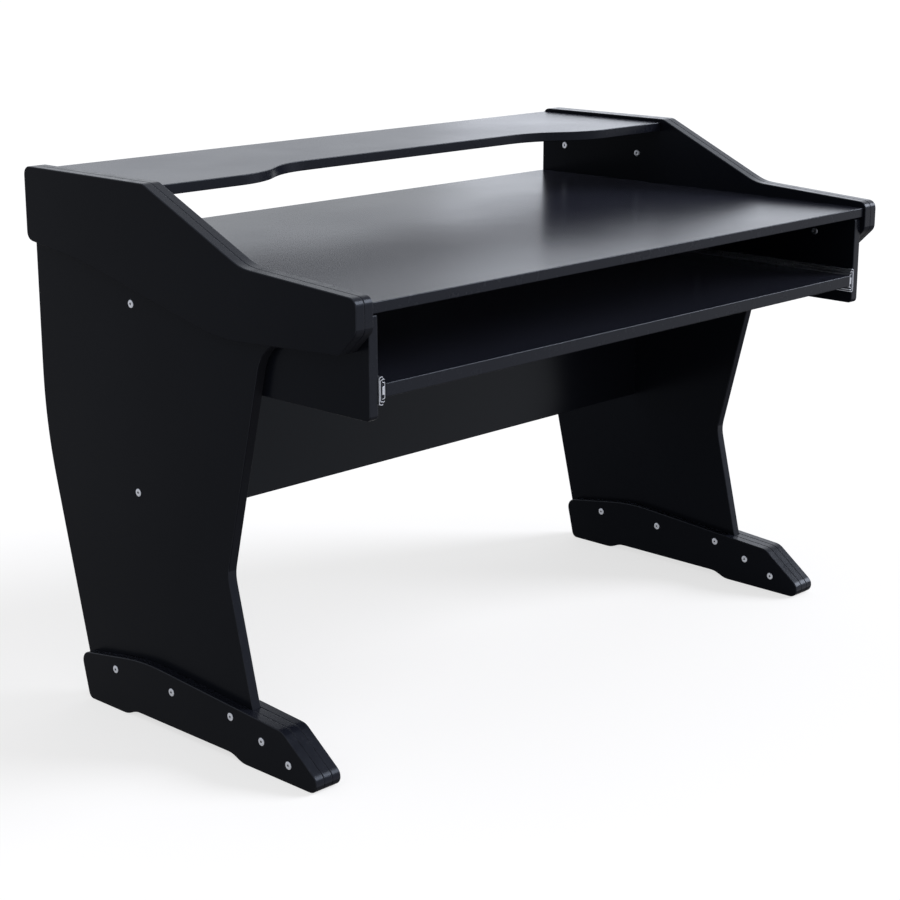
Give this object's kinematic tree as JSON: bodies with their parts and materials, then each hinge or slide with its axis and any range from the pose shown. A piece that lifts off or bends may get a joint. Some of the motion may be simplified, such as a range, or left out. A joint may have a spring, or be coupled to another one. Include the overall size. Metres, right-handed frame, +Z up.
{
  "type": "studio desk",
  "caption": "Black laminate studio desk with winged sides, riser shelf, modesty panel, sandwich feet and a keyboard tray on full extension ball bearing slides.",
  "frame": {"origin": "centre of the bounding box's underside, on the floor", "axes": "+X to the sitter's right along the tabletop, +Y to the back, +Z up"},
  "size_m": [1.3992, 0.835, 0.954],
  "materials": {
    "black_laminate": "satin black laminate on particle board, edges banded in the same black",
    "zinc_steel": "bright zinc plating on rolled and turned steel"
  },
  "bodies": {
    "desk": {"tabletop": "black_laminate", "riser_shelf": "black_laminate", "modesty_panel": "black_laminate", "left_leg_panel": "black_laminate", "left_outer_cheek": "black_laminate", "left_foot_outer_board": "black_laminate", "left_foot_filler": "black_laminate", "left_foot_inner_board": "black_laminate", "left_tray_side_panel": "black_laminate", "left_slide_cabinet_member": "zinc_steel", "left_foot_connector_1": "zinc_steel", "left_foot_connector_2": "zinc_steel", "left_foot_connector_3": "zinc_steel", "left_foot_connector_4": "zinc_steel", "left_foot_connector_5": "zinc_steel", "left_modesty_bolt_1": "zinc_steel", "left_modesty_bolt_2": "zinc_steel", "left_cheek_bolt_1": "zinc_steel", "left_cheek_bolt_2": "zinc_steel", "left_tray_side_bolt_1": "zinc_steel", "left_tray_side_bolt_2": "zinc_steel", "left_tabletop_screw_1": "zinc_steel", "left_tabletop_screw_2": "zinc_steel", "left_tabletop_screw_3": "zinc_steel", "left_shelf_screw_1": "zinc_steel", "left_shelf_screw_2": "zinc_steel", "right_leg_panel": "black_laminate", "right_outer_cheek": "black_laminate", "right_foot_outer_board": "black_laminate", "right_foot_filler": "black_laminate", "right_foot_inner_board": "black_laminate", "right_tray_side_panel": "black_laminate", "right_slide_cabinet_member": "zinc_steel", "right_foot_connector_1": "zinc_steel", "right_foot_connector_2": "zinc_steel", "right_foot_connector_3": "zinc_steel", "right_foot_connector_4": "zinc_steel", "right_foot_connector_5": "zinc_steel", "right_modesty_bolt_1": "zinc_steel", "right_modesty_bolt_2": "zinc_steel", "right_cheek_bolt_1": "zinc_steel", "right_cheek_bolt_2": "zinc_steel", "right_tray_side_bolt_1": "zinc_steel", "right_tray_side_bolt_2": "zinc_steel", "right_tabletop_screw_1": "zinc_steel", "right_tabletop_screw_2": "zinc_steel", "right_tabletop_screw_3": "zinc_steel", "right_shelf_screw_1": "zinc_steel", "right_shelf_screw_2": "zinc_steel"},
    "keyboard_tray": {"keyboard_tray": "black_laminate", "left_slide_drawer_member": "zinc_steel", "right_slide_drawer_member": "zinc_steel"},
    "left_outer_cage": {"left_slide_outer_ball_cage": "zinc_steel"},
    "left_middle_member": {"left_slide_middle_member": "zinc_steel"},
    "left_inner_cage": {"left_slide_inner_ball_cage": "zinc_steel"},
    "right_outer_cage": {"right_slide_outer_ball_cage": "zinc_steel"},
    "right_middle_member": {"right_slide_middle_member": "zinc_steel"},
    "right_inner_cage": {"right_slide_inner_ball_cage": "zinc_steel"}
  },
  "joints": [
    {"name": "tray_slide", "type": "slide", "parent": "desk", "child": "keyboard_tray", "axis": [0, -1, 0], "range_m": [0, 0.45]},
    {"name": "left_outer_cage_slide", "type": "slide", "parent": "desk", "child": "left_outer_cage", "axis": [0, -1, 0], "range_m": [0, 0.1125]},
    {"name": "left_middle_member_slide", "type": "slide", "parent": "desk", "child": "left_middle_member", "axis": [0, -1, 0], "range_m": [0, 0.225]},
    {"name": "left_inner_cage_slide", "type": "slide", "parent": "desk", "child": "left_inner_cage", "axis": [0, -1, 0], "range_m": [0, 0.3375]},
    {"name": "right_outer_cage_slide", "type": "slide", "parent": "desk", "child": "right_outer_cage", "axis": [0, -1, 0], "range_m": [0, 0.1125]},
    {"name": "right_middle_member_slide", "type": "slide", "parent": "desk", "child": "right_middle_member", "axis": [0, -1, 0], "range_m": [0, 0.225]},
    {"name": "right_inner_cage_slide", "type": "slide", "parent": "desk", "child": "right_inner_cage", "axis": [0, -1, 0], "range_m": [0, 0.3375]}
  ],
  "couplings": [
    {"joint": "left_outer_cage_slide", "follows": "tray_slide", "ratio": 0.25},
    {"joint": "left_middle_member_slide", "follows": "tray_slide", "ratio": 0.5},
    {"joint": "left_inner_cage_slide", "follows": "tray_slide", "ratio": 0.75},
    {"joint": "right_outer_cage_slide", "follows": "tray_slide", "ratio": 0.25},
    {"joint": "right_middle_member_slide", "follows": "tray_slide", "ratio": 0.5},
    {"joint": "right_inner_cage_slide", "follows": "tray_slide", "ratio": 0.75}
  ]
}
